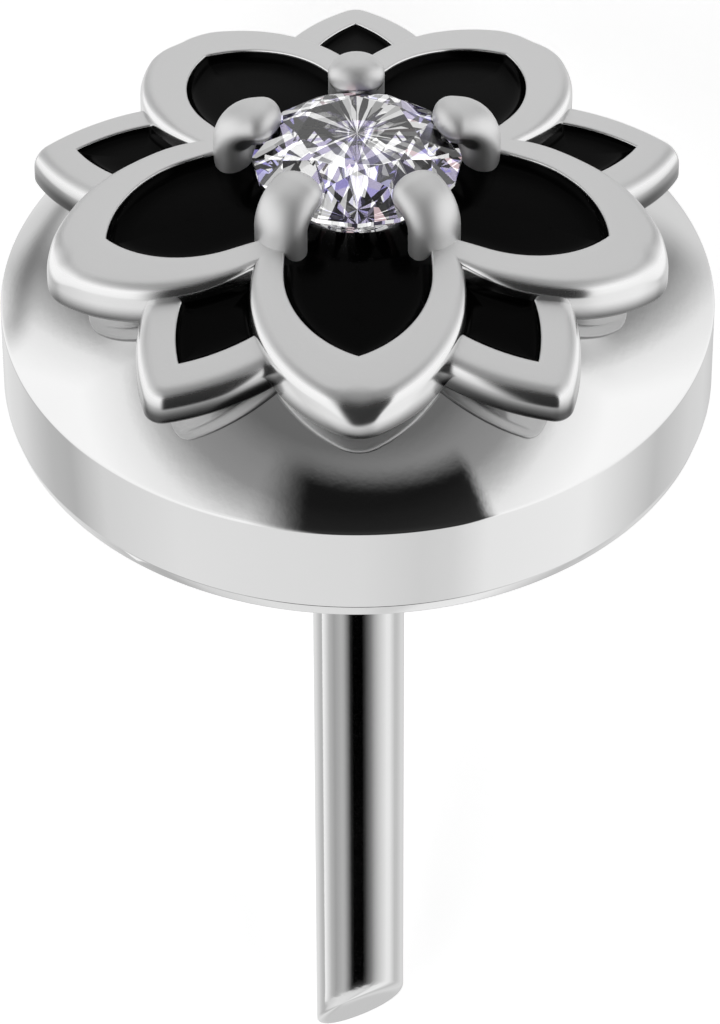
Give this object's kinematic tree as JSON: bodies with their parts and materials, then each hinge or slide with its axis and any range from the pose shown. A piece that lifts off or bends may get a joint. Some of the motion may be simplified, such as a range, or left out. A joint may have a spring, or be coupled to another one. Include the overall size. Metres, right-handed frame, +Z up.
{
  "type": "piercing top",
  "caption": "Domed round piercing top on a plain press-in pin, with a pierced flower, black enamel in its openings and a round stone held in prongs.",
  "frame": {"origin": "middle of the base of the bounding box, on the surface that the part lies on", "axes": "+Z up; +Y from the flower towards the tip of the pin; +X across"},
  "size_m": [0.0046, 0.008, 0.0045],
  "materials": {
    "disc": "polished",
    "pin": "polished",
    "flower": "satin",
    "enamel": "glossy",
    "stone": "clear, faceted"
  },
  "bodies": {
    "root": {"base_disc": "disc", "pin": "pin", "flower": "flower", "centre_enamel": "enamel", "cell_enamel_1": "enamel", "cell_enamel_2": "enamel", "cell_enamel_3": "enamel", "cell_enamel_4": "enamel", "cell_enamel_5": "enamel", "stone": "stone"}
  },
  "joints": []
}
